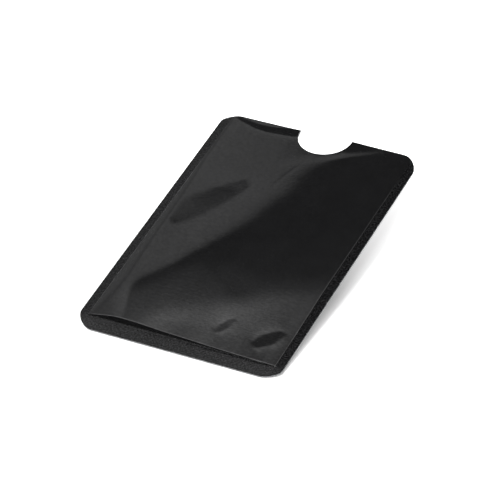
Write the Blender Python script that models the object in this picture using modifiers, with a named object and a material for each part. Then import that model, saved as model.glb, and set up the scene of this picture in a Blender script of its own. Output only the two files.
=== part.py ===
"""Shielding sleeve for one payment card, modelled ply by ply.

Two laminated film walls are welded together along both long edges and the bottom edge. The top edge
is an open mouth with a half-round thumb notch cut through both walls. Each wall has a black outer
film, a metal shielding foil and a seal film, which melts into its twin where the edges are welded.

Frame: the sleeve lies on its back wall at z = 0, the mouth points along +Y and the front wall faces +Z.
All lengths are in metres.
"""
import math

import bmesh
import bpy

# The card that the pocket is made for, and the play around it
CARD_WIDTH = 0.05398
CARD_LENGTH = 0.0856
CARD_SIDE_PLAY = 0.001
CARD_END_PLAY = 0.0005
MOUTH_MARGIN = 0.0012

# Plies of one wall, from outside to inside, and the glue line between two plies
OUTER_FILM_THICKNESS = 0.00005
SHIELD_FOIL_THICKNESS = 0.00003
SEAL_FILM_THICKNESS = 0.00007
BOND_LINE = 0.00001

# Welded edges, and the gap left between a weld and what ends beside it
SIDE_WELD_WIDTH = 0.0025
BOTTOM_WELD_WIDTH = 0.0047
WELD_CLEARANCE = 0.0003

# Thumb notch, cut a little right of the middle
NOTCH_RADIUS = 0.008
NOTCH_DEPTH = 0.0082
NOTCH_OFFSET = 0.0012
NOTCH_STEPS = 20

# Corners of the die: how far each round runs along the end edge and along the side edge
MOUTH_LEFT_CORNER = (0.0052, 0.0036)
MOUTH_RIGHT_CORNER = (0.0050, 0.0060)
BOTTOM_LEFT_CORNER = (0.0058, 0.0058)
BOTTOM_RIGHT_CORNER = (0.0050, 0.0036)
# 2 makes a corner a quarter ellipse and 1 a straight cut
CORNER_FULLNESS_SHARE = 1.6
CORNER_STEPS = 6

# Form of the front wall: it climbs off the welds over a short flank and crowns towards the middle
SIDE_FLANK_RUN = 0.0022
BOTTOM_FLANK_RUN = 0.0026
POCKET_RISE = 0.0009
CROWN_HEIGHT = 0.0007
MOUTH_CURL_RUN = 0.0045
MOUTH_CURL_SHARE = 0.22

# Broad swells and hollows of the handled film. Their places are shares of the half width and half
# length, their radii shares of the half width, and their heights shares of the pocket's rise.
SWELL_SHARES = [
    (-0.05, -0.62, 0.30, 0.22),
    (0.62, -0.48, 0.34, 0.20),
    (-0.34, 0.72, 0.30, 0.26),
    (0.10, -0.12, 0.42, -0.16),
    (0.55, 0.62, 0.40, -0.18),
]

# Long dent left of the middle: its middle and depth as shares, its length, width and slant
DENT_CENTRE_SHARES = (-0.53, 0.23)
DENT_DEPTH_SHARE = 0.34
DENT_LENGTH = 0.026
DENT_WIDTH = 0.0085
DENT_SLANT = math.radians(62)

# Rows and columns of the pressed surface, counted between its flanks and across one flank
ROWS_BETWEEN_FLANKS = 20
COLUMNS_BETWEEN_FLANKS = 13
STEPS_ACROSS_FLANK = 3

# How far the uncut laminate and the cutters reach past the finished outline
OVERRUN = 0.002

# Sizes that follow from those above
POCKET_HALF_WIDTH = CARD_WIDTH / 2 + CARD_SIDE_PLAY
HALF_WIDTH = POCKET_HALF_WIDTH + SIDE_WELD_WIDTH
LENGTH = BOTTOM_WELD_WIDTH + CARD_END_PLAY + CARD_LENGTH + MOUTH_MARGIN
MOUTH_Y = LENGTH / 2
BOTTOM_Y = -LENGTH / 2
POCKET_BOTTOM_Y = BOTTOM_Y + BOTTOM_WELD_WIDTH

# Heights of the plies that lie flat, and distances of the front plies from the pocket's surface
BACK_FOIL_Z = OUTER_FILM_THICKNESS + BOND_LINE
BACK_SEAL_Z = BACK_FOIL_Z + SHIELD_FOIL_THICKNESS + BOND_LINE
FRONT_SURFACE_Z = BACK_SEAL_Z + SEAL_FILM_THICKNESS + BOND_LINE
WELD_THICKNESS = FRONT_SURFACE_Z + SEAL_FILM_THICKNESS - BACK_SEAL_Z
FRONT_FOIL_DISTANCE = SEAL_FILM_THICKNESS + BOND_LINE
FRONT_FILM_DISTANCE = FRONT_FOIL_DISTANCE + SHIELD_FOIL_THICKNESS + BOND_LINE


def clear_scene():
    """Remove whatever the file holds before the sleeve is built."""
    for item in list(bpy.data.objects):
        bpy.data.objects.remove(item, do_unlink=True)


def new_collection(name):
    """Add a collection to the scene."""
    collection = bpy.data.collections.new(name)
    bpy.context.scene.collection.children.link(collection)
    return collection


def new_material(name, colour, roughness, metallic):
    """Make a plain Principled material."""
    material = bpy.data.materials.new(name)
    material.use_nodes = True
    shader = material.node_tree.nodes["Principled BSDF"]
    shader.inputs["Base Color"].default_value = (*colour, 1)
    shader.inputs["Roughness"].default_value = roughness
    shader.inputs["Metallic"].default_value = metallic
    return material


def smooth_step(value):
    """Ease from 0 to 1 as the value goes from 0 to 1."""
    value = min(max(value, 0), 1)
    return value * value * (3 - 2 * value)


def corner_points(x_side, y_side, spans):
    """Round one corner of the die; x_side and y_side are -1 or 1 and say which corner it is."""
    run_x, run_y = spans
    power = 2 / CORNER_FULLNESS_SHARE
    points = []
    for step in range(CORNER_STEPS + 1):
        angle = math.pi / 2 * step / CORNER_STEPS
        x = HALF_WIDTH - run_x * (1 - math.cos(angle) ** power)
        y = MOUTH_Y - run_y * (1 - math.sin(angle) ** power)
        points.append((x_side * x, y_side * y))
    return points if x_side == y_side else points[::-1]


def notch_points():
    """Give the thumb notch from its right lip, round its floor, to its left lip."""
    centre_y = MOUTH_Y + NOTCH_RADIUS - NOTCH_DEPTH
    lip_angle = math.asin(min(max(NOTCH_RADIUS - NOTCH_DEPTH, 0) / NOTCH_RADIUS, 1))
    points = []
    for step in range(NOTCH_STEPS + 1):
        angle = -lip_angle - (math.pi - 2 * lip_angle) * step / NOTCH_STEPS
        x = NOTCH_OFFSET + NOTCH_RADIUS * math.cos(angle)
        points.append((x, centre_y + NOTCH_RADIUS * math.sin(angle)))
    if NOTCH_DEPTH > NOTCH_RADIUS:
        points.insert(0, (NOTCH_OFFSET + NOTCH_RADIUS, MOUTH_Y))
        points.append((NOTCH_OFFSET - NOTCH_RADIUS, MOUTH_Y))
    return points


def sleeve_outline():
    """Walk anticlockwise round the die-cut edge of both walls."""
    outline = corner_points(1, 1, MOUTH_RIGHT_CORNER)
    outline += notch_points()
    outline += corner_points(-1, 1, MOUTH_LEFT_CORNER)
    outline += corner_points(-1, -1, BOTTOM_LEFT_CORNER)
    outline += corner_points(1, -1, BOTTOM_RIGHT_CORNER)
    return outline


def flat_outline_object(name, bottom, thickness, collection):
    """Extrude the sleeve's outline from the given height and return it as a mesh object."""
    curve = bpy.data.curves.new(name, "CURVE")
    curve.dimensions = "2D"
    curve.fill_mode = "BOTH"
    curve.extrude = thickness / 2
    outline = sleeve_outline()
    spline = curve.splines.new("POLY")
    spline.points.add(len(outline) - 1)
    for point, (x, y) in zip(spline.points, outline):
        point.co = (x, y, 0, 1)
    spline.use_cyclic_u = True
    drawn = bpy.data.objects.new(name, curve)
    collection.objects.link(drawn)
    bpy.context.view_layer.update()
    mesh = bpy.data.meshes.new_from_object(drawn.evaluated_get(bpy.context.evaluated_depsgraph_get()))
    bpy.data.objects.remove(drawn)
    weld_points(mesh)
    solid = bpy.data.objects.new(name, mesh)
    solid.location.z = bottom + thickness / 2
    collection.objects.link(solid)
    return solid


def weld_points(mesh):
    """Close the loose caps that an extruded curve leaves."""
    shape = bmesh.new()
    shape.from_mesh(mesh)
    bmesh.ops.remove_doubles(shape, verts=shape.verts, dist=BOND_LINE / 10)
    bmesh.ops.recalc_face_normals(shape, faces=shape.faces)
    shape.to_mesh(mesh)
    shape.free()


def strip_object(name, low, high, collection):
    """Add a flat strip between two corners, its origin at its middle."""
    bpy.ops.mesh.primitive_cube_add(size=1)
    strip = bpy.context.active_object
    strip.name = name
    for axis in range(3):
        strip.location[axis] = (low[axis] + high[axis]) / 2
        strip.scale[axis] = high[axis] - low[axis]
    bpy.ops.object.transform_apply(location=False, rotation=False, scale=True)
    for owner in list(strip.users_collection):
        owner.objects.unlink(strip)
    collection.objects.link(strip)
    return strip


def swell_share(x, y):
    """Add up the broad swells and hollows at a point, as a share of the pocket's rise."""
    total = 0
    for centre_x, centre_y, radius, height in SWELL_SHARES:
        across = (x - centre_x * HALF_WIDTH) / (radius * HALF_WIDTH)
        along = (y - centre_y * MOUTH_Y) / (radius * HALF_WIDTH)
        total += height * math.exp(-across * across - along * along)
    return total


def dent_share(x, y):
    """Give the long dent at a point, as a share of the pocket's rise."""
    offset_x = x - DENT_CENTRE_SHARES[0] * HALF_WIDTH
    offset_y = y - DENT_CENTRE_SHARES[1] * MOUTH_Y
    along = offset_x * math.cos(DENT_SLANT) + offset_y * math.sin(DENT_SLANT)
    across = offset_y * math.cos(DENT_SLANT) - offset_x * math.sin(DENT_SLANT)
    reach = (2 * along / DENT_LENGTH) ** 2 + (2 * across / DENT_WIDTH) ** 2
    return DENT_DEPTH_SHARE * math.exp(-reach * reach)


def pocket_height(x, y):
    """Height of the front wall's inner face over the plane where the walls are welded."""
    flanks = smooth_step((POCKET_HALF_WIDTH - abs(x)) / SIDE_FLANK_RUN)
    flanks *= smooth_step((y - POCKET_BOTTOM_Y) / BOTTOM_FLANK_RUN)
    curl = 1 - MOUTH_CURL_SHARE * smooth_step((y - MOUTH_Y) / MOUTH_CURL_RUN + 1)
    from_bottom = min((y - POCKET_BOTTOM_Y) / (MOUTH_Y - POCKET_BOTTOM_Y), 1)
    crown = (1 - (x / POCKET_HALF_WIDTH) ** 2) * (1 - (1 - from_bottom) ** 3)
    level = POCKET_RISE * (1 + swell_share(x, y) - dent_share(x, y)) + CROWN_HEIGHT * crown
    return flanks * curl * level


def spaced_lines(low_band, low_flank, high_flank, high_band, count):
    """Place grid lines: a band's edge, the steps across a flank, then even spaces to the far flank."""
    lines = [low_band]
    lines += [low_flank[0] + (low_flank[1] - low_flank[0]) * i / STEPS_ACROSS_FLANK
              for i in range(STEPS_ACROSS_FLANK)]
    lines += [low_flank[1] + (high_flank[0] - low_flank[1]) * i / count for i in range(count)]
    lines += [high_flank[0] + (high_flank[1] - high_flank[0]) * i / STEPS_ACROSS_FLANK
              for i in range(STEPS_ACROSS_FLANK + 1)]
    lines.append(high_band)
    return lines


def pressed_surface():
    """Press the front laminate into shape: an open surface that reaches past the die's outline."""
    left_flank = (-POCKET_HALF_WIDTH, -POCKET_HALF_WIDTH + SIDE_FLANK_RUN)
    right_flank = (-left_flank[1], -left_flank[0])
    columns = spaced_lines(-HALF_WIDTH - OVERRUN, left_flank, right_flank,
                           HALF_WIDTH + OVERRUN, COLUMNS_BETWEEN_FLANKS)
    bottom_flank = (POCKET_BOTTOM_Y, POCKET_BOTTOM_Y + BOTTOM_FLANK_RUN)
    mouth_curl = (MOUTH_Y - MOUTH_CURL_RUN, MOUTH_Y)
    rows = spaced_lines(BOTTOM_Y - OVERRUN, bottom_flank, mouth_curl, MOUTH_Y + OVERRUN,
                        ROWS_BETWEEN_FLANKS)
    shape = bmesh.new()
    bmesh.ops.create_grid(shape, x_segments=len(columns) - 1, y_segments=len(rows) - 1, size=1)
    for vertex in shape.verts:
        x = columns[round((vertex.co.x + 1) / 2 * (len(columns) - 1))]
        y = rows[round((vertex.co.y + 1) / 2 * (len(rows) - 1))]
        vertex.co = (x, y, FRONT_SURFACE_Z + pocket_height(x, y))
    bmesh.ops.triangulate(shape, faces=shape.faces, quad_method="SHORT_EDGE")
    mesh = bpy.data.meshes.new("pressed_surface")
    shape.to_mesh(mesh)
    shape.free()
    return mesh


def cut_to(solid, cutter):
    """Keep only what lies inside the cutter."""
    cut = solid.modifiers.new("cut to " + cutter.name, "BOOLEAN")
    cut.operation = "INTERSECT"
    cut.solver = "EXACT"
    cut.object = cutter


def front_ply(name, surface, distance, thickness, collection):
    """Lay one ply over the pressed surface, at its own distance from the pocket."""
    ply = bpy.data.objects.new(name, surface.copy())
    collection.objects.link(ply)
    wall = ply.modifiers.new("ply thickness", "SOLIDIFY")
    wall.thickness = thickness
    wall.offset = 1 + 2 * distance / thickness
    return ply


def make_cutters(collection):
    """Make the die for the outer edge and the frame for what lies inside the welds."""
    top = FRONT_SURFACE_Z + 2 * (POCKET_RISE + CROWN_HEIGHT) + OVERRUN
    die = flat_outline_object("edge_die", -OVERRUN, top + OVERRUN, collection)
    inner_x = POCKET_HALF_WIDTH - WELD_CLEARANCE
    inner_y = POCKET_BOTTOM_Y + WELD_CLEARANCE
    frame = strip_object("seal_film_frame", (-inner_x, inner_y, -OVERRUN),
                         (inner_x, MOUTH_Y + 2 * OVERRUN, top), collection)
    for cutter in (die, frame):
        cutter.display_type = "WIRE"
        cutter.hide_render = True
    return die, frame


def make_back_wall(die, parts, materials):
    """Stack the flat back wall from its outer film up to its seal film."""
    film = flat_outline_object("back_outer_film", 0, OUTER_FILM_THICKNESS, parts)
    foil = flat_outline_object("back_shield_foil", BACK_FOIL_Z, SHIELD_FOIL_THICKNESS, parts)
    inner_x = POCKET_HALF_WIDTH - WELD_CLEARANCE
    inner_y = POCKET_BOTTOM_Y + WELD_CLEARANCE
    seal = strip_object("back_seal_film", (-inner_x, inner_y, BACK_SEAL_Z),
                        (inner_x, MOUTH_Y + OVERRUN, BACK_SEAL_Z + SEAL_FILM_THICKNESS), parts)
    cut_to(seal, die)
    film.data.materials.append(materials["film"])
    foil.data.materials.append(materials["foil"])
    seal.data.materials.append(materials["seal"])


def make_front_wall(die, frame, parts, materials):
    """Lay the three front plies over the pressed surface and cut them out."""
    surface = pressed_surface()
    seal = front_ply("front_seal_film", surface, 0, SEAL_FILM_THICKNESS, parts)
    foil = front_ply("front_shield_foil", surface, FRONT_FOIL_DISTANCE, SHIELD_FOIL_THICKNESS, parts)
    film = front_ply("front_outer_film", surface, FRONT_FILM_DISTANCE, OUTER_FILM_THICKNESS, parts)
    cut_to(seal, frame)
    for ply in (seal, foil, film):
        cut_to(ply, die)
        ply.data.shade_smooth()
    film.data.materials.append(materials["film"])
    foil.data.materials.append(materials["foil"])
    seal.data.materials.append(materials["seal"])
    bpy.data.meshes.remove(surface)


def make_welds(die, parts, materials):
    """Make the three bands where the seal films have melted into one."""
    low_z, high_z = BACK_SEAL_Z, BACK_SEAL_Z + WELD_THICKNESS
    side_low = POCKET_BOTTOM_Y + WELD_CLEARANCE
    outer_x, outer_y = HALF_WIDTH + OVERRUN, MOUTH_Y + OVERRUN
    left = strip_object("left_side_weld", (-outer_x, side_low, low_z),
                        (-POCKET_HALF_WIDTH, outer_y, high_z), parts)
    right = strip_object("right_side_weld", (POCKET_HALF_WIDTH, side_low, low_z),
                         (outer_x, outer_y, high_z), parts)
    bottom = strip_object("bottom_weld", (-outer_x, BOTTOM_Y - OVERRUN, low_z),
                          (outer_x, POCKET_BOTTOM_Y, high_z), parts)
    for weld in (left, right, bottom):
        cut_to(weld, die)
        weld.data.materials.append(materials["seal"])


def build_sleeve():
    """Build every ply and weld of the sleeve."""
    clear_scene()
    parts = new_collection("rfid_card_sleeve")
    cutters = new_collection("sleeve_cutters")
    materials = {
        "film": new_material("black_gloss_film", (0.011, 0.011, 0.012), 0.22, 0),
        "foil": new_material("shielding_foil", (0.78, 0.79, 0.80), 0.28, 1),
        "seal": new_material("clear_seal_film", (0.46, 0.47, 0.48), 0.4, 0),
    }
    die, frame = make_cutters(cutters)
    make_back_wall(die, parts, materials)
    make_welds(die, parts, materials)
    make_front_wall(die, frame, parts, materials)
    holder = bpy.data.objects.new("sleeve_origin", None)
    parts.objects.link(holder)
    for solid in parts.objects:
        if solid is not holder:
            solid.parent = holder


build_sleeve()
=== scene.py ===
"""Looks of the shielding card sleeve: black gloss laminate pressed round an empty pocket.

Three plies of the front wall are laid over one pressed form, which has the folds, facets and
curled mouth of handled film. The welds are knurled and flecked, and the sleeve lies on a pale
studio floor. Lengths are in metres, but the numbers of the film's form are in millimetres.
"""
import math

import bpy
import numpy as np
from mathutils import Matrix, Vector


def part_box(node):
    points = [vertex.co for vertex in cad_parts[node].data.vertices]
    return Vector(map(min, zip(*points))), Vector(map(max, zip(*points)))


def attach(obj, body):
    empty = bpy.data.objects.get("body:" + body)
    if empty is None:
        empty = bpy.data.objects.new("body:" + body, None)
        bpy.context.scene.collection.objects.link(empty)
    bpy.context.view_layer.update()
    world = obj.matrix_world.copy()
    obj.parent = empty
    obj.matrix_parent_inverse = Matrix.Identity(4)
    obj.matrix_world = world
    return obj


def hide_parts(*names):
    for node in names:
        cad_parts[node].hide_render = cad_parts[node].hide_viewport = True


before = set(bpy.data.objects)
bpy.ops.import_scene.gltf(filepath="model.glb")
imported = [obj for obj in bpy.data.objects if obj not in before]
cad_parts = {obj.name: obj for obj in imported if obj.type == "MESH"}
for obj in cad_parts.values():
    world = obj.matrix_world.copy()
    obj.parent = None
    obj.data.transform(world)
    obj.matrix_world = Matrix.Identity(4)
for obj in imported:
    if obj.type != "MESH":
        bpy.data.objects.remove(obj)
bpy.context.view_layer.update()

bl_info = {
    "name": "Shielding card sleeve",
    "version": (1, 0, 0),
    "blender": (4, 5, 0),
    "location": "3D View > Sidebar > Card sleeve",
    "description": "Models the plies, finish and studio of a shielding card sleeve",
    "category": "Add Mesh",
}

MM = 0.001

# The die and the welds, as in the CAD
LOW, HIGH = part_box("back_outer_film")
HALF_WIDTH = HIGH.x
MOUTH_Y = HIGH.y
BOTTOM_Y = LOW.y
POCKET_HALF_WIDTH = 27.99 * MM
POCKET_BOTTOM_Y = -41.3 * MM
WELD_CLEARANCE = 0.3 * MM
NOTCH_RADIUS = 8.0 * MM
NOTCH_DEPTH = 8.2 * MM
NOTCH_OFFSET = 1.2 * MM
NOTCH_STEPS = 72
# How far each round runs along the end edge and along the side edge
MOUTH_LEFT_CORNER = (5.2 * MM, 3.6 * MM)
MOUTH_RIGHT_CORNER = (5.0 * MM, 6.0 * MM)
BOTTOM_LEFT_CORNER = (5.8 * MM, 5.8 * MM)
BOTTOM_RIGHT_CORNER = (5.0 * MM, 3.6 * MM)
CORNER_FULLNESS = 1.6
CORNER_STEPS = 18
# Least squared length of an edge that a place is measured to
LEAST_EDGE_SQUARED = 1e-18

# Height of the front wall's inner face at the welds
FRONT_SURFACE_Z = 0.18 * MM
# Plies of the front wall: distance over that face, and thickness
SEAL_PLY = (0.0, 0.07 * MM)
FOIL_PLY = (0.08 * MM, 0.03 * MM)
FILM_PLY = (0.12 * MM, 0.05 * MM)

# Cells of the pressed sheet: across a weld, across the gap beside it, up a flank, over the pocket
SIDE_BAND_CELLS = 5
BOTTOM_BAND_CELLS = 10
GAP_CELLS = 4
FLANK_CELLS = 14
POCKET_COLUMNS = 140
POCKET_ROWS = 216
# Where each flank's cells end, from the weld
SIDE_FLANK = 1.3 * MM
BOTTOM_FLANK = 1.1 * MM
SMOOTH_ANGLE = math.radians(30)

# Film at the middle of the sleeve: its height, and its slopes to the right and to the mouth
BASE_HEIGHT_MM = 1.02
BASE_SLOPES = (-0.026, -0.003)
# Over the pocket the film comes down softly to a least height
LEAST_HEIGHT_MM = 0.03
LEAST_HEIGHT_SOFTNESS = 0.04

# Samples that round a line's bends, with the two at the ends of the window left out
WINDOW_SAMPLES = 33
# How far to either side of a place a line's slope is taken
SLOPE_STEP_MM = 0.5

# Folds: the side on which the film falls, the fold's points as (x, y), the window over which its
# bends are rounded, how steeply the film falls past it, and how soft the break is. A negative fall
# is a rise. A bow eases the fall with the distance, and a reach ends it, with a softness of its
# own. A value that changes along a fold is a table of places and values. Its places are y on a
# fold that runs from the bottom to the mouth, and x on one that runs from left to right.
FOLDS_MM = (
    # The long fold from the lower left corner to the notch
    dict(side="left", window=5.0,
         points=[(-32.0, -38.0), (-24.5, -30.5), (-18.2, -24.5), (-13.2, -14.0), (-8.8, -4.0),
                 (-4.0, 4.0), (0.0, 12.0), (4.5, 20.0), (6.5, 28.0), (7.5, 34.0), (8.0, 46.0)],
         fall=[(-38.0, 0.026), (-28.0, 0.030), (-16.0, 0.045), (15.0, 0.045), (26.0, 0.042),
               (40.0, 0.038)],
         softness=[(-30.0, 1.4), (-10.0, 1.6), (0.0, 2.8), (10.0, 3.8), (26.0, 3.4), (33.0, 2.0),
                   (40.0, 1.3)]),
    # Beyond it the film flattens again towards the left weld
    dict(side="left", window=6.0,
         points=[(-24.0, -46.0), (-22.0, -10.0), (-15.0, 5.0), (-12.0, 20.0), (-11.0, 46.0)],
         fall=[(-46.0, -0.012), (16.0, -0.012), (28.0, -0.005), (40.0, -0.001)],
         softness=1.5),
    # The lower left corner dips
    dict(side="left", window=6.0,
         points=[(-18.5, -46.0), (-21.0, -36.0), (-25.5, -24.0), (-31.0, -10.0)],
         fall=0.19, softness=1.4),
    # A slight fall towards the right weld
    dict(side="right", window=5.0,
         points=[(30.0, -25.0), (24.0, -12.0), (21.0, 0.0), (20.0, 20.0), (20.0, 46.0)],
         fall=0.017, softness=1.5),
    # Here the film starts to fall towards the bottom
    dict(side="below", window=6.0,
         points=[(-34.0, -29.0), (-18.0, -20.0), (-8.0, -12.5), (2.8, -11.0), (13.7, -12.0),
                 (27.0, -6.8), (34.0, -3.0)],
         fall=[(-20.0, 0.010), (0.0, 0.009), (15.0, 0.007), (28.0, 0.007)], softness=1.2),
    # It falls faster past this fold, and less so further on
    dict(side="below", window=4.0,
         points=[(-22.0, -48.0), (-12.0, -38.0), (-8.0, -33.5), (0.0, -28.5), (5.0, -24.0),
                 (15.0, -18.5), (27.0, -12.5), (34.0, -8.5)],
         fall=[(-14.0, 0.012), (-8.0, 0.025), (0.0, 0.021), (8.0, 0.024), (16.0, 0.022),
               (24.0, 0.0155)],
         softness=1.5, bow=0.0003),
    # Near the bottom weld the film flattens again
    dict(side="below", window=6.0,
         points=[(-30.0, -41.0), (-12.0, -38.0), (0.0, -36.0), (10.0, -34.5), (20.0, -35.0),
                 (30.0, -36.0)],
         fall=[(-14.0, -0.002), (-8.0, -0.010), (0.0, -0.010), (15.0, -0.007), (28.0, -0.003)],
         softness=0.8),
    # A step down along a line that passes below the notch to the right half of the mouth
    dict(side="above", window=3.0,
         points=[(-10.0, 27.5), (-2.0, 31.8), (2.0, 34.2), (8.0, 37.4), (12.0, 39.6),
                 (19.0, 43.6), (30.0, 50.0)],
         fall=[(-8.0, 0.0), (2.0, 0.02), (8.0, 0.07), (30.0, 0.085)], softness=0.6,
         reach=[(-4.0, 2.0), (2.0, 2.6), (30.0, 1.8)], reach_softness=0.8),
)
# The mouth's left half curls down past this fold. Towards the right the curl fades out, and it
# ends at this place.
CURL_MM = dict(
    side="above", window=1.5, fall=0.098, softness=0.25,
    points=[(-28.0, 44.6), (-25.5, 43.6), (-20.0, 41.9), (-16.0, 41.4), (-12.0, 41.7),
            (-8.0, 41.9), (-4.0, 43.2)])
CURL_END_MM = 1.0
CURL_FADE_MM = 6.0

# The film climbs from its welds in walls of an even slope with a round crest
LEFT_WALL_SLOPE, LEFT_CREST = 0.40, 0.08
RIGHT_WALL_SLOPE, RIGHT_CREST = 0.95, 0.01
BOTTOM_WALL_SLOPE, BOTTOM_CREST = 1.65, 0.04
# Over the bottom weld the front wall rises a little to the pocket
BOTTOM_WELD_SLOPE = 0.015

# A pinched crease: its line, the window that rounds it, its height, its half width, and how far
# it takes to fade in at its lower end and out at its upper end
PINCH_MM = [(-3.6, 18.5), (-3.2, 23.0), (-1.8, 28.0), (0.4, 33.0)]
PINCH_WINDOW = 2.0
PINCH_RISE = -0.006
PINCH_BREADTH = 0.6
PINCH_FADES = (4.0, 3.0)

# Facets where handling has tilted the film: middle, length and breadth, slant, taper to the upper
# end, fullness of the oval, tilt across the facet, share of the half length over which an end
# fades, and how far the film beside it takes to come back
FACETS_MM = (
    dict(centre=(-17.9, 10.0), size=(28.6, 9.0), slant=56, taper=0.32, fullness=2.4,
         tilt=0.0158, fade=0.18, reach=9.0),
    dict(centre=(9.0, -32.7), size=(7.6, 2.7), slant=66, taper=0.1, fullness=1.6,
         tilt=-0.021, fade=0.3, reach=1.4),
    dict(centre=(22.0, -33.1), size=(10.6, 4.7), slant=50, taper=0.1, fullness=1.6,
         tilt=-0.020, fade=0.3, reach=1.6),
)
# Waves of a facet's middle line: height, radians for each millimetre, and start in radians
FACET_WAVES_MM = ((0.10, 1.3, 0.4), (0.06, 2.9, 0.0))
# How much steeper a facet is at its ends
FACET_END_STEEPNESS = 0.35
# How sharply the tilt stops at a facet's rim
FACET_RIM_POWER = 8
# Least half breadth that a place is set against, at a facet's very ends
LEAST_FACET_HALF_MM = 0.001

# A broad swell: its middle, radius and height
SWELL_CENTRE_MM = (9.0, -25.0)
SWELL_RADIUS_MM = 4.5
SWELL_RISE_MM = 0.03

# Noises of the finishes: scale, detail and roughness
FILM_GRAIN = (1500.0, 4.0, 0.62)
FILM_STREAKS = (420.0, 3.0, 0.7)
FILM_PATCHES = (160.0, 5.0, 0.6)
FILM_FLECKS = (2200.0, 2.0, 0.6)
FILM_MOTTLE = (900.0, 6.0, 0.75)
FOIL_LINES = (260.0, 4.0, 0.5)
SEAL_CLOUDS = (320.0, 5.0, 0.65)
NOISE_MIDDLE = 0.5
# Parts of a noise's range that are spread over a pattern's own range
SOFT_NOISE = (0.3, 0.7)
MOTTLE_NOISE = (0.36, 0.64)
# How drawn patterns are turned, in degrees, and squeezed
STREAK_TURN, STREAK_SQUEEZE = 62, (1, 5, 1)
MOTTLE_TURN, MOTTLE_SQUEEZE = -28, (1, 2.2, 1)
FOIL_SQUEEZE = (12, 1, 12)
# Two waves that cross make the knurl
KNURL_TURNS = (45, -45)
KNURL_SCALE = 360.0
KNURL_DISTORTION = 1.5
KNURL_DETAIL = 2.0
# Ranges of the tones that colours are multiplied by
FILM_TONES = (0.9, 1.1)
FOIL_TONES = (0.86, 1.0)
SEAL_TONES = (0.85, 1.1)
LEAST_FLECK_TONE = 0.1
# Share of the fleck that shows over the pocket, to which a weld adds 1
POCKET_FLECK = 0.15
# Range of the film's sheen, and how much duller all welds are, and the side welds again
FILM_SHEEN = (0.33, 0.66)
WELD_DULLING = 0.3
SIDE_WELD_DULLING = 0.25
# Ranges of roughness: the film's as shares of its setting
FILM_ROUGHNESS_SHARES = (0.85, 1.2)
FOIL_ROUGHNESS = (0.2, 0.36)
SEAL_ROUGHNESS = (0.34, 0.5)

# Camera: the place it looks at, its distance, its angle round and above the sleeve, and its roll
AIM = Vector((1.529 * MM, -3.216 * MM, 0))
CAMERA_DISTANCE = 811.334 * MM
CAMERA_AZIMUTH = math.radians(32.149)
CAMERA_ELEVATION = math.radians(42.003)
CAMERA_ROLL = math.radians(-8.327)
CAMERA_LENS = 216.0
SENSOR_WIDTH = 36.0
CLIP_START = 0.01
CLIP_END = 50

# Softboxes hang by one edge: the direction of a place on that edge, the way the edge runs, the
# way from it to the box's middle, the distance of that place, the edge's length, how far the box
# is shifted along the edge, and its breadth from there. A profile gives the brightness against
# the distance from the edge, for a box that the film mirrors.
SIDE_SOFTBOX = dict(
    facing=(-0.407, 0.632, 0.659), edge=(-0.382, -0.773, 0.505), away=(-1, 0, 0),
    distance=4.0, length=1.98, shift=0.31, breadth=5.0,
    profile=[(0.0, 0.14), (0.010, 0.40), (0.022, 0.58), (0.055, 0.66), (0.09, 0.80),
             (0.16, 0.90), (0.35, 0.90), (0.55, 0.78), (0.9, 0.56), (1.4, 0.44), (5.0, 0.40)])
OVERHEAD_SOFTBOX = dict(
    facing=(-0.392, 0.626, 0.674), edge=(0.906, 0.380, 0.174), away=(0, -1, 1),
    distance=3.0, length=3.6, shift=0.0, breadth=3.5,
    profile=[(0.0, 0.01), (0.06, 0.02), (0.10, 0.06), (0.13, 0.10), (0.155, 0.27), (0.21, 0.40),
             (0.26, 0.68), (0.34, 1.0), (0.46, 1.45), (3.5, 1.45)])
KEY_SOFTBOX = dict(
    facing=(-0.30, -0.05, 0.95), edge=(0, 1, 0), away=(-1, 0, 0),
    distance=3.0, length=1.5, shift=0.0, breadth=1.5)
TOP_FILL = dict(
    facing=(0.5, -0.9, 1.3), edge=(1, 0, 0), away=(0, 1, 0),
    distance=3.0, length=3.0, shift=0.0, breadth=3.0)

# Floor: its size, its columns, and its rows from front to back as place and height
FLOOR_SIZE = 5.2
FLOOR_COLUMNS = 8
FLOOR_PROFILE = [(-2.6, -0.00002), (-1.0, -0.00002), (-0.2, -0.00002), (-0.05, -0.00002),
                 (-0.046, -0.0001), (-0.04, -0.0005), (0.08, -0.0113), (0.11, -0.0132),
                 (0.14, -0.014), (0.3, -0.0142), (2.6, -0.0142)]
# Rings of the floor's rim: how much wider than the one before, and how much higher
FLOOR_RIM = ((1.06, 0.03), (1.04, 0.10), (1.02, 0.5))
FLOOR_COLOUR = (0.86, 0.86, 0.86, 1)
FLOOR_ROUGHNESS = 0.9
# Painted light: the floor's glow grows towards the back, which fades the sleeve's shadow there
# The floor glows least before the first of these places along Y, and fully past the second
GLOW_SPAN = (-0.01, 0.04)
FULL_GLOW = 1.0
WHITE = (1, 1, 1, 1)


def ease(value):
    """Ease from 0 to 1 as the value goes from 0 to 1."""
    value = np.clip(value, 0, 1)
    return value * value * (3 - 2 * value)


def past(distance, softness):
    """Distance past a line, easing up from 0 over the softness."""
    return softness * np.logaddexp(0, distance / softness)


def read(value, at):
    """Read a value that holds everywhere, or a table of places and values."""
    if isinstance(value, float):
        return value
    return np.interp(at, [row[0] for row in value], [row[1] for row in value])


def smooth_line(points, at, window):
    """Read a line through the points, its bends rounded over the window."""
    total = weights = 0
    for offset in np.linspace(-1, 1, WINDOW_SAMPLES)[1:-1]:
        weight = 1 - offset * offset
        total = total + weight * read(points, at + offset * window)
        weights += weight
    return total / weights


def short_of(points, along, across, window):
    """Distance by which places fall short of a line, whose points say how far along and across."""
    line = smooth_line(points, along, window)
    rise = smooth_line(points, along + SLOPE_STEP_MM, window)
    rise = rise - smooth_line(points, along - SLOPE_STEP_MM, window)
    slope = rise / (2 * SLOPE_STEP_MM)
    return (line - across) / np.sqrt(1 + slope * slope)


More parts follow.
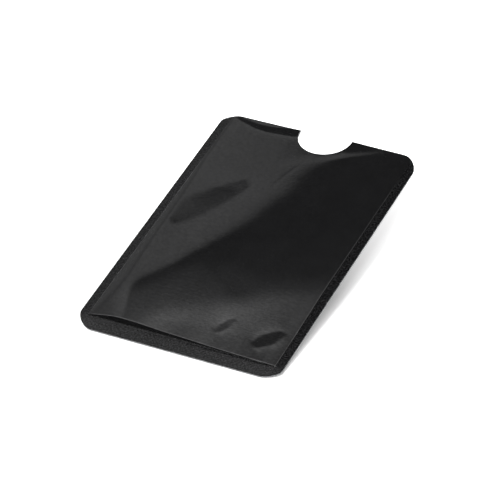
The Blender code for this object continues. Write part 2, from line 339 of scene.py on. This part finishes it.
def left_of(points, x, y, window):
    """Distance to the left of a line that runs from the bottom to the mouth."""
    return short_of([(point[1], point[0]) for point in points], y, x, window)


def below(points, x, y, window):
    """Distance towards the bottom from a line that runs from left to right."""
    return short_of(points, x, y, window)


def drop_past(x, y, side, points, window, fall, softness, bow=0.0, reach=None,
              reach_softness=None):
    """Give how far the film drops past a fold."""
    if side in ("left", "right"):
        at, distance = y, left_of(points, x, y, window)
    else:
        at, distance = x, below(points, x, y, window)
    if side in ("right", "above"):
        distance = -distance
    run = past(distance, read(softness, at))
    if reach:
        run = run - past(distance - read(reach, at), reach_softness)
    return (read(fall, at) - bow * run) * run


def swell_height(x, y):
    """Height that the broad swell adds."""
    squared = (x - SWELL_CENTRE_MM[0]) ** 2 + (y - SWELL_CENTRE_MM[1]) ** 2
    return SWELL_RISE_MM * np.exp(-squared / SWELL_RADIUS_MM ** 2)


def pinch_height(x, y):
    """Height that the pinched crease adds."""
    pinch = left_of(PINCH_MM, x, y, PINCH_WINDOW) / PINCH_BREADTH
    lower_end = ease((y - PINCH_MM[0][1]) / PINCH_FADES[0])
    upper_end = ease((PINCH_MM[-1][1] - y) / PINCH_FADES[1])
    return PINCH_RISE * np.exp(-pinch * pinch) * (lower_end * upper_end)


def facet_height(x, y, centre, size, slant, taper, fullness, tilt, fade, reach):
    """Height that a tapered oval facet adds: it tilts across its breadth."""
    turn = math.radians(slant)
    along = (x - centre[0]) * math.cos(turn) + (y - centre[1]) * math.sin(turn)
    across = (y - centre[1]) * math.cos(turn) - (x - centre[0]) * math.sin(turn)
    for height, turns, start in FACET_WAVES_MM:
        across = across + height * np.sin(turns * along + start)
    along = np.clip(2 * along / size[0], -1, 1)
    oval = (1 - np.abs(along) ** fullness) ** (1 / fullness)
    half = size[1] / 2 * (1 - taper * along) * oval
    share = across / np.maximum(half, LEAST_FACET_HALF_MM)
    share = share / (1 + share ** FACET_RIM_POWER) ** (1 / FACET_RIM_POWER)
    rise = tilt * (1 + FACET_END_STEEPNESS * along ** 2) * half * ease((1 - np.abs(along)) / fade)
    return rise * share * np.exp(-np.maximum(np.abs(across) - half, 0) / reach)


def under_wall(height, distance, slope, crest):
    """Height under a wall that climbs from a weld at a slope, with a round crest."""
    return -crest * np.logaddexp(-height / crest, -slope * distance / crest)


def body_height_mm(x, y):
    """Height of the film between its walls, in millimetres."""
    height = BASE_HEIGHT_MM + BASE_SLOPES[0] * x + BASE_SLOPES[1] * y
    for fold in FOLDS_MM:
        height = height - drop_past(x, y, **fold)
    height = height + swell_height(x, y)
    curled = drop_past(x, y, **CURL_MM) * ease((CURL_END_MM - x) / CURL_FADE_MM)
    height = height - curled + pinch_height(x, y)
    for facet in FACETS_MM:
        height = height + facet_height(x, y, **facet)
    return LEAST_HEIGHT_MM + past(height - LEAST_HEIGHT_MM, LEAST_HEIGHT_SOFTNESS)


def film_height(x, y):
    """Height of the front wall over the welds, for arrays of places in metres."""
    x, y = x / MM, y / MM
    side, bottom = POCKET_HALF_WIDTH / MM, POCKET_BOTTOM_Y / MM
    height = body_height_mm(x, y)
    height = under_wall(height, x + side, LEFT_WALL_SLOPE, LEFT_CREST)
    height = under_wall(height, side - x, RIGHT_WALL_SLOPE, RIGHT_CREST)
    height = under_wall(height, y - bottom, BOTTOM_WALL_SLOPE, BOTTOM_CREST)
    over_weld = np.clip(y - BOTTOM_Y / MM, 0, (POCKET_BOTTOM_Y - BOTTOM_Y) / MM)
    return (np.maximum(height, 0) + BOTTOM_WELD_SLOPE * over_weld) * MM


def corner_points(x_side, y_side, spans):
    """Round one corner of the die."""
    power = 2 / CORNER_FULLNESS
    points = []
    for angle in np.linspace(0, math.pi / 2, CORNER_STEPS + 1):
        x = HALF_WIDTH - spans[0] * (1 - max(math.cos(angle), 0) ** power)
        y = MOUTH_Y - spans[1] * (1 - max(math.sin(angle), 0) ** power)
        points.append((x_side * x, y_side * y))
    return points if x_side == y_side else points[::-1]


def notch_points():
    """Give the thumb notch from its right lip, round its floor, to its left lip."""
    centre_y = MOUTH_Y + NOTCH_RADIUS - NOTCH_DEPTH
    points = [(NOTCH_OFFSET + NOTCH_RADIUS, MOUTH_Y)]
    for angle in np.linspace(0, -math.pi, NOTCH_STEPS + 1):
        points.append((NOTCH_OFFSET + NOTCH_RADIUS * math.cos(angle),
                       centre_y + NOTCH_RADIUS * math.sin(angle)))
    points.append((NOTCH_OFFSET - NOTCH_RADIUS, MOUTH_Y))
    return points


def die_outline():
    """Walk anticlockwise round the die-cut edge of the walls."""
    return np.array(corner_points(1, 1, MOUTH_RIGHT_CORNER) + notch_points()
                    + corner_points(-1, 1, MOUTH_LEFT_CORNER)
                    + corner_points(-1, -1, BOTTOM_LEFT_CORNER)
                    + corner_points(1, -1, BOTTOM_RIGHT_CORNER))


def inside_outline(places, outline):
    """Say which places lie inside the outline."""
    inside = np.zeros(len(places), bool)
    for start, end in zip(outline, np.roll(outline, -1, 0)):
        spans = (start[1] > places[:, 1]) != (end[1] > places[:, 1])
        run, rise = end - start
        crossing = start[0] + (places[:, 1] - start[1]) * run / (rise if rise else 1)
        inside ^= spans & (places[:, 0] < crossing)
    return inside


def nearest_on_outline(places, outline):
    """Give the nearest place on the outline for each place."""
    best = np.full(len(places), np.inf)
    nearest = places.copy()
    for start, end in zip(outline, np.roll(outline, -1, 0)):
        edge = end - start
        share = np.clip((places - start) @ edge / max(edge @ edge, LEAST_EDGE_SQUARED), 0, 1)
        foot = start + share[:, None] * edge
        distance = np.linalg.norm(places - foot, axis=1)
        closer = distance < best
        best[closer], nearest[closer] = distance[closer], foot[closer]
    return nearest


def only_selected(item):
    """Make one object the active and only selected one."""
    bpy.ops.object.select_all(action="DESELECT")
    item.select_set(True)
    bpy.context.view_layer.objects.active = item


def spaced(stations):
    """Place grid lines between stations, each given with the count of cells up to the next."""
    lines = [np.linspace(start, end, count, endpoint=False)
             for (start, count), (end, _) in zip(stations, stations[1:])]
    return np.append(np.concatenate(lines), stations[-1][0])


def sheet_lines():
    """Give the columns and rows of the sheet, closest where the film climbs off the welds."""
    side, bottom = POCKET_HALF_WIDTH, POCKET_BOTTOM_Y
    columns = spaced([
        (-HALF_WIDTH, SIDE_BAND_CELLS), (-side, GAP_CELLS), (-side + WELD_CLEARANCE, FLANK_CELLS),
        (-side + SIDE_FLANK, POCKET_COLUMNS), (side - SIDE_FLANK, FLANK_CELLS),
        (side - WELD_CLEARANCE, GAP_CELLS), (side, SIDE_BAND_CELLS), (HALF_WIDTH, 0)])
    rows = spaced([
        (BOTTOM_Y, BOTTOM_BAND_CELLS), (bottom, GAP_CELLS), (bottom + WELD_CLEARANCE, FLANK_CELLS),
        (bottom + BOTTOM_FLANK, POCKET_ROWS), (MOUTH_Y, 0)])
    return columns, rows


def places_of(mesh):
    """Read a mesh's points as an array."""
    places = np.empty(len(mesh.vertices) * 3)
    mesh.vertices.foreach_get("co", places)
    return places.reshape(-1, 3)


def put_places(mesh, places):
    """Write a mesh's points from an array."""
    mesh.vertices.foreach_set("co", places.ravel())
    mesh.update()


def delete_faces(sheet, chosen):
    """Delete the chosen faces of a mesh."""
    mesh = sheet.data
    mesh.vertices.foreach_set("select", np.zeros(len(mesh.vertices), bool))
    mesh.edges.foreach_set("select", np.zeros(len(mesh.edges), bool))
    mesh.polygons.foreach_set("select", chosen)
    only_selected(sheet)
    bpy.context.tool_settings.mesh_select_mode = (False, False, True)
    bpy.ops.object.mode_set(mode="EDIT")
    bpy.ops.mesh.delete(type="FACE")
    bpy.ops.object.mode_set(mode="OBJECT")


def edge_points(sheet):
    """Say which points of a sheet lie on its open edge."""
    bpy.context.tool_settings.mesh_select_mode = (True, False, False)
    bpy.ops.object.mode_set(mode="EDIT")
    bpy.ops.mesh.select_all(action="DESELECT")
    bpy.ops.mesh.select_non_manifold()
    bpy.ops.object.mode_set(mode="OBJECT")
    edge = np.zeros(len(sheet.data.vertices), bool)
    sheet.data.vertices.foreach_get("select", edge)
    return edge


def face_middles(sheet):
    """Give the middle of each face, seen from above."""
    return np.array([polygon.center[:2] for polygon in sheet.data.polygons])


def die_cut(sheet, outline):
    """Cut a flat sheet: drop the cells outside the outline and draw its edge onto the line."""
    delete_faces(sheet, ~inside_outline(face_middles(sheet), outline))
    edge = edge_points(sheet)
    places = places_of(sheet.data)
    places[edge, :2] = nearest_on_outline(places[edge, :2], outline)
    rim = np.flatnonzero(edge)
    for lip in (notch_points()[0], notch_points()[-1]):
        closest = rim[np.argmin(np.linalg.norm(places[rim, :2] - np.array(lip), axis=1))]
        places[closest, :2] = lip
    put_places(sheet.data, places)


def flat_sheet(name):
    """Add a grid of the sheet's cells, cut to the die."""
    columns, rows = sheet_lines()
    last_column, last_row = len(columns) - 1, len(rows) - 1
    bpy.ops.object.select_all(action="DESELECT")
    bpy.ops.mesh.primitive_grid_add(x_subdivisions=last_column, y_subdivisions=last_row, size=1)
    sheet = bpy.context.active_object
    sheet.name = name
    places = places_of(sheet.data)
    places[:, 0] = columns[np.rint((places[:, 0] + 0.5) * last_column).astype(int)]
    places[:, 1] = rows[np.rint((places[:, 1] + 0.5) * last_row).astype(int)]
    put_places(sheet.data, places)
    die_cut(sheet, die_outline())
    return sheet


def trim_to_welds(sheet):
    """Drop what the welds take from the seal film."""
    middles = face_middles(sheet)
    outside = np.abs(middles[:, 0]) > POCKET_HALF_WIDTH - WELD_CLEARANCE
    outside |= middles[:, 1] < POCKET_BOTTOM_Y + WELD_CLEARANCE
    delete_faces(sheet, outside)


def press_ply(name, ply, finish, inside_welds=False):
    """Press one ply of the front wall over the pocket and give it its thickness."""
    sheet = flat_sheet(name)
    if inside_welds:
        trim_to_welds(sheet)
    places = places_of(sheet.data)
    places[:, 2] = FRONT_SURFACE_Z + film_height(places[:, 0], places[:, 1])
    put_places(sheet.data, places)
    distance, thickness = ply
    wall = sheet.modifiers.new("ply thickness", "SOLIDIFY")
    wall.thickness = thickness
    # At an offset of 1 the ply starts at the form, and 2 more lift it by its own thickness
    wall.offset = 1 + 2 * distance / thickness
    only_selected(sheet)
    bpy.ops.object.modifier_apply(modifier=wall.name)
    bpy.ops.object.shade_smooth_by_angle(angle=SMOOTH_ANGLE)
    sheet.data.materials.clear()
    sheet.data.materials.append(finish_material(finish))
    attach(sheet, "root")
    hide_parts(name)


def new_material(name):
    """Add a material and give its tree and its shader."""
    material = bpy.data.materials.new(name)
    material.use_nodes = True
    return material, material.node_tree, material.node_tree.nodes["Principled BSDF"]


def add_node(tree, kind, inputs=(), **settings):
    """Add a node, set its fields and link or fill its inputs."""
    made = tree.nodes.new(kind)
    for field, value in settings.items():
        setattr(made, field, value)
    for socket, value in dict(inputs).items():
        if isinstance(value, bpy.types.NodeSocket):
            tree.links.new(value, made.inputs[socket])
        else:
            made.inputs[socket].default_value = value
    return made


def link_shader(tree, shader, **surface):
    """Link the shader's colour, sheen, roughness and normal to what makes them."""
    sockets = {"colour": "Base Color", "sheen": "Specular IOR Level", "rough": "Roughness",
               "normal": "Normal"}
    for part, source in surface.items():
        tree.links.new(source, shader.inputs[sockets[part]])


def maths(tree, operation, first, second=0.0):
    """Join two values with a Math node."""
    return add_node(tree, "ShaderNodeMath", {0: first, 1: second}, operation=operation).outputs[0]


def object_place(tree):
    """Give the place on the piece."""
    return add_node(tree, "ShaderNodeTexCoord").outputs["Object"]


def drawn(tree, place, degrees=0.0, squeeze=(1, 1, 1)):
    """Turn a pattern about the sheet's normal and squeeze it, which draws it out."""
    return add_node(tree, "ShaderNodeMapping", {
        "Vector": place, "Rotation": (0, 0, math.radians(degrees)), "Scale": squeeze}).outputs[0]


def noise(tree, place, scale, detail, roughness):
    """Lay a noise over the piece."""
    return add_node(tree, "ShaderNodeTexNoise", {
        "Vector": place, "Scale": scale, "Detail": detail,
        "Roughness": roughness}).outputs["Fac"]


def spread(tree, value, to_range, from_range=(0.0, 1.0)):
    """Spread a value's range over another range."""
    return add_node(tree, "ShaderNodeMapRange", {
        "Value": value, "From Min": from_range[0], "From Max": from_range[1],
        "To Min": to_range[0], "To Max": to_range[1]}).outputs[0]


def toned(tree, colour, tone):
    """Multiply a colour by a tone."""
    return add_node(tree, "ShaderNodeVectorMath", {0: colour, "Scale": tone},
                    operation="SCALE").outputs[0]


def bumped(tree, height, depth, **under):
    """Raise a surface by a pattern, over another bump where there is one."""
    inputs = {"Height": height, "Distance": depth}
    if "normal" in under:
        inputs["Normal"] = under["normal"]
    return add_node(tree, "ShaderNodeBump", inputs).outputs[0]


def weld_masks(tree, place):
    """Give two masks: 1 on the side welds, and 1 on every weld."""
    split = add_node(tree, "ShaderNodeSeparateXYZ", {0: place})
    side = maths(tree, "ABSOLUTE", split.outputs["X"])
    side = maths(tree, "GREATER_THAN", side, POCKET_HALF_WIDTH)
    end = maths(tree, "LESS_THAN", split.outputs["Y"], POCKET_BOTTOM_Y)
    return side, maths(tree, "MAXIMUM", side, end)


def film_tone(tree, place, patches, welds, amount):
    """Tone of the film: soft patches, and flecks that are strongest on the welds."""
    flecks = maths(tree, "SUBTRACT", noise(tree, place, *FILM_FLECKS), NOISE_MIDDLE)
    share = maths(tree, "MULTIPLY", maths(tree, "ADD", POCKET_FLECK, welds), amount)
    flecks = maths(tree, "ADD", 1.0, maths(tree, "MULTIPLY", flecks, share))
    flecks = maths(tree, "MAXIMUM", LEAST_FLECK_TONE, flecks)
    return maths(tree, "MULTIPLY", spread(tree, patches, FILM_TONES, SOFT_NOISE), flecks)


def film_sheen(tree, place, side_welds, welds):
    """Sheen of the film: mottled, duller on the welds and dullest on the side welds."""
    mottle = noise(tree, drawn(tree, place, MOTTLE_TURN, MOTTLE_SQUEEZE), *FILM_MOTTLE)
    dulling = maths(tree, "ADD", maths(tree, "MULTIPLY", welds, WELD_DULLING),
                    maths(tree, "MULTIPLY", side_welds, SIDE_WELD_DULLING))
    return maths(tree, "MULTIPLY", spread(tree, mottle, FILM_SHEEN, MOTTLE_NOISE),
                 maths(tree, "SUBTRACT", 1.0, dulling))


def weld_knurl(tree, place, welds):
    """Diamond knurl that the seal bars press into the welds."""
    waves = [add_node(tree, "ShaderNodeTexWave", {
        "Vector": drawn(tree, place, degrees), "Scale": KNURL_SCALE,
        "Distortion": KNURL_DISTORTION, "Detail": KNURL_DETAIL,
        "Detail Scale": KNURL_DETAIL}).outputs["Fac"] for degrees in KNURL_TURNS]
    return maths(tree, "MULTIPLY", maths(tree, "MULTIPLY", *waves), welds)


def film_material(settings):
    """Black gloss film: fine drawn grain over the pocket, and knurled and flecked welds."""
    material, tree, shader = new_material("black_gloss_film")
    place = object_place(tree)
    side_welds, welds = weld_masks(tree, place)
    patches = noise(tree, place, *FILM_PATCHES)
    streaks = noise(tree, drawn(tree, place, STREAK_TURN, STREAK_SQUEEZE), *FILM_STREAKS)
    roughness = [settings.film_roughness * share for share in FILM_ROUGHNESS_SHARES]
    bump = bumped(tree, noise(tree, place, *FILM_GRAIN), settings.grain_depth)
    bump = bumped(tree, streaks, settings.grain_depth, normal=bump)
    bump = bumped(tree, weld_knurl(tree, place, welds), settings.knurl_depth, normal=bump)
    tone = film_tone(tree, place, patches, welds, settings.fleck)
    link_shader(tree, shader, colour=toned(tree, settings.film_colour, tone),
                sheen=film_sheen(tree, place, side_welds, welds),
                rough=spread(tree, patches, roughness, SOFT_NOISE), normal=bump)
    return material


def foil_material(settings):
    """Rolled metal foil with fine lines along the roll."""
    material, tree, shader = new_material("shielding_foil")
    shader.inputs["Metallic"].default_value = 1.0
    lines = noise(tree, drawn(tree, object_place(tree), squeeze=FOIL_SQUEEZE), *FOIL_LINES)
    tone = spread(tree, lines, FOIL_TONES)
    link_shader(tree, shader, colour=toned(tree, settings.foil_colour, tone),
                rough=spread(tree, lines, FOIL_ROUGHNESS),
                normal=bumped(tree, lines, settings.grain_depth))
    return material


def seal_material(settings):
    """Dull seal film, cloudy where it was melted and cooled."""
    material, tree, shader = new_material("seal_film")
    clouds = noise(tree, object_place(tree), *SEAL_CLOUDS)
    tone = spread(tree, clouds, SEAL_TONES, SOFT_NOISE)
    link_shader(tree, shader, colour=toned(tree, settings.seal_colour, tone),
                rough=spread(tree, clouds, SEAL_ROUGHNESS),
                normal=bumped(tree, clouds, settings.grain_depth))
    return material


def finish_material(name):
    """Give a finish's material, made the first time that it is asked for."""
    makers = {"black_gloss_film": film_material, "shielding_foil": foil_material,
              "seal_film": seal_material}
    made = bpy.data.materials.get(name)
    return made if made else makers[name](bpy.context.scene.sleeve_finish)


def dress_node(name, finish):
    """Give a CAD node its finish."""
    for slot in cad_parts[name].material_slots:
        slot.material = finish_material(finish)


class SleeveFinish(bpy.types.PropertyGroup):
    """Colours and surface of the laminate."""
    film_colour: bpy.props.FloatVectorProperty(
        name="Film colour", description="Colour of the outer film", subtype="COLOR", size=3,
        min=0, max=1, default=(0.0088, 0.0088, 0.0092))
    foil_colour: bpy.props.FloatVectorProperty(
        name="Foil colour", description="Colour of the shielding foil", subtype="COLOR", size=3,
        min=0, max=1, default=(0.78, 0.79, 0.80))
    seal_colour: bpy.props.FloatVectorProperty(
        name="Seal film colour", description="Colour of the seal film inside", subtype="COLOR",
        size=3, min=0, max=1, default=(0.30, 0.31, 0.32))
    film_roughness: bpy.props.FloatProperty(
        name="Film roughness", description="How dull the outer film is", min=0, max=1,
        default=0.055)
    grain_depth: bpy.props.FloatProperty(
        name="Grain depth", description="Depth of the film's fine grain", subtype="DISTANCE",
        unit="LENGTH", min=0, default=0.0000035)
    fleck: bpy.props.FloatProperty(
        name="Fleck", description="How flecked the crimped welds are", min=0, default=8.0)
    knurl_depth: bpy.props.FloatProperty(
        name="Knurl depth", description="Depth of the knurl that the seal bars press",
        subtype="DISTANCE", unit="LENGTH", min=0, default=0.0000025)


class SleeveStudio(bpy.types.PropertyGroup):
    """Levels of the studio."""
    side_level: bpy.props.FloatProperty(
        name="Side softbox", description="Brightness of the softbox behind on the left, 1 is white",
        min=0, default=0.64)
    overhead_level: bpy.props.FloatProperty(
        name="Overhead softbox", description="Brightness of the softbox overhead, 1 is white",
        min=0, default=1.5)
    key_level: bpy.props.FloatProperty(
        name="Key", description="Brightness of the key softbox on the left, 1 is white",
        min=0, default=11.0)
    top_level: bpy.props.FloatProperty(
        name="Top fill", description="Brightness of the broad fill lamp overhead, 1 is white",
        min=0, default=0.6)
    floor_glow: bpy.props.FloatProperty(
        name="Floor glow", description="Least brightness that the floor shows, 1 is white",
        min=0, max=1, default=0.33)
    surround: bpy.props.FloatProperty(
        name="Surroundings", description="Brightness of the dim room", min=0, max=1, default=0.02)


class MESH_OT_sleeve_front_film(bpy.types.Operator):
    """Press the black outer film of the front wall"""
    bl_idname = "mesh.sleeve_front_film"
    bl_label = "Front outer film"
    bl_options = {"REGISTER", "UNDO"}

    def execute(self, context):
        press_ply("front_outer_film", FILM_PLY, "black_gloss_film")
        return {"FINISHED"}


class MESH_OT_sleeve_front_inner(bpy.types.Operator):
    """Press the foil and the seal film of the front wall"""
    bl_idname = "mesh.sleeve_front_inner"
    bl_label = "Front foil and seal film"
    bl_options = {"REGISTER", "UNDO"}

    def execute(self, context):
        press_ply("front_shield_foil", FOIL_PLY, "shielding_foil")
        press_ply("front_seal_film", SEAL_PLY, "seal_film", inside_welds=True)
        return {"FINISHED"}


class MESH_OT_sleeve_back_wall(bpy.types.Operator):
    """Finish the back wall and the welds"""
    bl_idname = "mesh.sleeve_back_wall"
    bl_label = "Back wall and welds"
    bl_options = {"REGISTER", "UNDO"}

    def execute(self, context):
        dress_node("back_outer_film", "black_gloss_film")
        dress_node("back_shield_foil", "shielding_foil")
        for name in ("back_seal_film", "left_side_weld", "right_side_weld", "bottom_weld"):
            dress_node(name, "seal_film")
        return {"FINISHED"}


def camera_axes():
    """Give the camera's right, up and backward directions."""
    back = Vector((math.sin(CAMERA_AZIMUTH) * math.cos(CAMERA_ELEVATION),
                   -math.cos(CAMERA_AZIMUTH) * math.cos(CAMERA_ELEVATION),
                   math.sin(CAMERA_ELEVATION)))
    right = Vector((math.cos(CAMERA_AZIMUTH), math.sin(CAMERA_AZIMUTH), 0))
    up = back.cross(right)
    turned_right = right * math.cos(CAMERA_ROLL) + up * math.sin(CAMERA_ROLL)
    turned_up = up * math.cos(CAMERA_ROLL) - right * math.sin(CAMERA_ROLL)
    return turned_right, turned_up, back


def place_matrix(right, up, back, place):
    """Join three axes and a place into one matrix."""
    matrix = Matrix((right, up, back)).transposed().to_4x4()
    matrix.translation = place
    return matrix


def add_camera():
    """Add the camera at the photograph's viewing angle."""
    right, up, back = camera_axes()
    data = bpy.data.cameras.new("studio_camera")
    data.lens = CAMERA_LENS
    data.sensor_width = SENSOR_WIDTH
    data.clip_start = CLIP_START
    data.clip_end = CLIP_END
    camera = bpy.data.objects.new("studio_camera", data)
    bpy.context.scene.collection.objects.link(camera)
    camera.matrix_world = place_matrix(right, up, back, AIM + back * CAMERA_DISTANCE)
    bpy.context.scene.camera = camera


def grade_softbox(data, profile, breadth):
    """Fade a softbox from the edge that the film mirrors."""
    data.use_nodes = True
    tree = data.node_tree
    across = add_node(tree, "ShaderNodeNewGeometry").outputs["Parametric"]
    split = add_node(tree, "ShaderNodeSeparateXYZ", {0: across})
    ramp = add_node(tree, "ShaderNodeValToRGB", {0: split.outputs["X"]})
    stops = ramp.color_ramp.elements
    for _ in profile[2:]:
        stops.new(0.5)
    for stop, (distance, share) in zip(stops, profile):
        stop.position = min(distance / breadth, 1)
        stop.color = (share, share, share, 1)
    tree.links.new(ramp.outputs[0], tree.nodes["Emission"].inputs["Strength"])


def add_softbox(name, level, facing, edge, away, distance, length, shift, breadth, profile=None):
    """Hang a rectangular softbox by its edge."""
    out = Vector(facing).normalized()
    across = out.cross(Vector(edge).normalized()).normalized()
    if across.dot(Vector(away)) < 0:
        across.negate()
    along = out.cross(across).normalized()
    data = bpy.data.lights.new(name, "AREA")
    data.shape = "RECTANGLE"
    data.size = breadth
    data.size_y = length
    data.energy = level * math.pi * breadth * length
    if profile:
        grade_softbox(data, profile, breadth)
    lamp = bpy.data.objects.new(name, data)
    bpy.context.scene.collection.objects.link(lamp)
    place = out * distance + across * breadth / 2 + along * shift
    lamp.matrix_world = place_matrix(across, across.cross(out) * -1, out, place)
    return lamp


def floor_material(studio):
    """White floor that keeps the sleeve's shadow and shows white to the camera and in gloss."""
    material, tree, shader = new_material("studio_floor")
    shader.inputs["Base Color"].default_value = FLOOR_COLOUR
    shader.inputs["Roughness"].default_value = FLOOR_ROUGHNESS
    shader.inputs["Specular IOR Level"].default_value = 0.0
    path = add_node(tree, "ShaderNodeLightPath")
    seen = maths(tree, "MAXIMUM", path.outputs["Is Camera Ray"], path.outputs["Is Glossy Ray"])
    seen = maths(tree, "MAXIMUM", seen, path.outputs["Is Transmission Ray"])
    split = add_node(tree, "ShaderNodeSeparateXYZ", {0: object_place(tree)})
    # Painted light: the glow rises along Y from floor_glow to full, and fades the sleeve's shadow
    # further back
    level = spread(tree, split.outputs["Y"], (studio.floor_glow, FULL_GLOW), GLOW_SPAN)
    glow = add_node(tree, "ShaderNodeEmission", {
        "Color": WHITE, "Strength": maths(tree, "MULTIPLY", seen, level)})
    both = add_node(tree, "ShaderNodeAddShader", {0: shader.outputs[0], 1: glow.outputs[0]})
    tree.links.new(both.outputs[0], tree.nodes["Material Output"].inputs["Surface"])
    return material


def raise_rim():
    """Draw the open edge of the mesh in edit mode out and up, ring by ring."""
    bpy.ops.mesh.select_mode(type="EDGE")
    for spread_by, rise in FLOOR_RIM:
        bpy.ops.mesh.select_all(action="DESELECT")
        bpy.ops.mesh.select_non_manifold()
        bpy.ops.mesh.extrude_edges_move()
        bpy.ops.transform.resize(value=(spread_by, spread_by, 1))
        bpy.ops.transform.translate(value=(0, 0, rise))
    bpy.ops.mesh.select_all(action="SELECT")


def add_floor(studio):
    """Add a floor that falls away a little under the sleeve, with a low rim far out."""
    profile = np.array(FLOOR_PROFILE)
    last_row = len(profile) - 1
    bpy.ops.object.select_all(action="DESELECT")
    bpy.ops.mesh.primitive_grid_add(x_subdivisions=FLOOR_COLUMNS, y_subdivisions=last_row,
                                    size=FLOOR_SIZE)
    floor = bpy.context.active_object
    floor.name = "studio_floor"
    places = places_of(floor.data)
    row = np.rint((places[:, 1] / FLOOR_SIZE + 0.5) * last_row).astype(int)
    places[:, 1:] = profile[row]
    put_places(floor.data, places)
    bpy.ops.object.mode_set(mode="EDIT")
    raise_rim()
    bpy.ops.object.mode_set(mode="OBJECT")
    floor.data.materials.append(floor_material(studio))


def add_world(studio):
    """Set the dim room round the stage."""
    world = bpy.data.worlds.new("studio_room")
    world.use_nodes = True
    room = world.node_tree.nodes["Background"]
    room.inputs["Color"].default_value = WHITE
    room.inputs["Strength"].default_value = studio.surround
    bpy.context.scene.world = world


def add_lamps(studio):
    """Hang the two softboxes that the film mirrors, and two lamps that it doesn't."""
    add_softbox("side_softbox", studio.side_level, **SIDE_SOFTBOX)
    add_softbox("overhead_softbox", studio.overhead_level, **OVERHEAD_SOFTBOX)
    for lamp in (add_softbox("key_softbox", studio.key_level, **KEY_SOFTBOX),
                 add_softbox("top_fill", studio.top_level, **TOP_FILL)):
        lamp.visible_glossy = False


class SCENE_OT_sleeve_studio(bpy.types.Operator):
    """Set up the floor, lamps and camera"""
    bl_idname = "scene.sleeve_studio"
    bl_label = "Studio"
    bl_options = {"REGISTER", "UNDO"}

    def execute(self, context):
        studio = context.scene.sleeve_studio
        context.scene.view_settings.view_transform = "Standard"
        add_camera()
        add_world(studio)
        add_floor(studio)
        add_lamps(studio)
        return {"FINISHED"}


class VIEW3D_PT_card_sleeve(bpy.types.Panel):
    """Finishes, studio levels and pieces of the sleeve"""
    bl_idname = "VIEW3D_PT_card_sleeve"
    bl_label = "Card sleeve"
    bl_space_type = "VIEW_3D"
    bl_region_type = "UI"
    bl_category = "Card sleeve"

    def draw(self, context):
        for group in (context.scene.sleeve_finish, context.scene.sleeve_studio):
            for field in group.bl_rna.properties:
                if field.identifier not in ("rna_type", "name"):
                    self.layout.prop(group, field.identifier)
        for operator in OPERATORS:
            self.layout.operator(operator.bl_idname)


OPERATORS = (MESH_OT_sleeve_front_film, MESH_OT_sleeve_front_inner, MESH_OT_sleeve_back_wall,
             SCENE_OT_sleeve_studio)
CLASSES = (SleeveFinish, SleeveStudio, *OPERATORS, VIEW3D_PT_card_sleeve)


def register():
    """Register the classes and their settings."""
    for item in CLASSES:
        bpy.utils.register_class(item)
    bpy.types.Scene.sleeve_finish = bpy.props.PointerProperty(type=SleeveFinish)
    bpy.types.Scene.sleeve_studio = bpy.props.PointerProperty(type=SleeveStudio)


def unregister():
    """Remove the settings and the classes."""
    del bpy.types.Scene.sleeve_studio
    del bpy.types.Scene.sleeve_finish
    for item in reversed(CLASSES):
        bpy.utils.unregister_class(item)


def main():
    """Build the sleeve and its studio."""
    register()
    bpy.ops.mesh.sleeve_front_film()
    bpy.ops.mesh.sleeve_front_inner()
    bpy.ops.mesh.sleeve_back_wall()
    bpy.ops.scene.sleeve_studio()


if __name__ == "__main__":
    main()
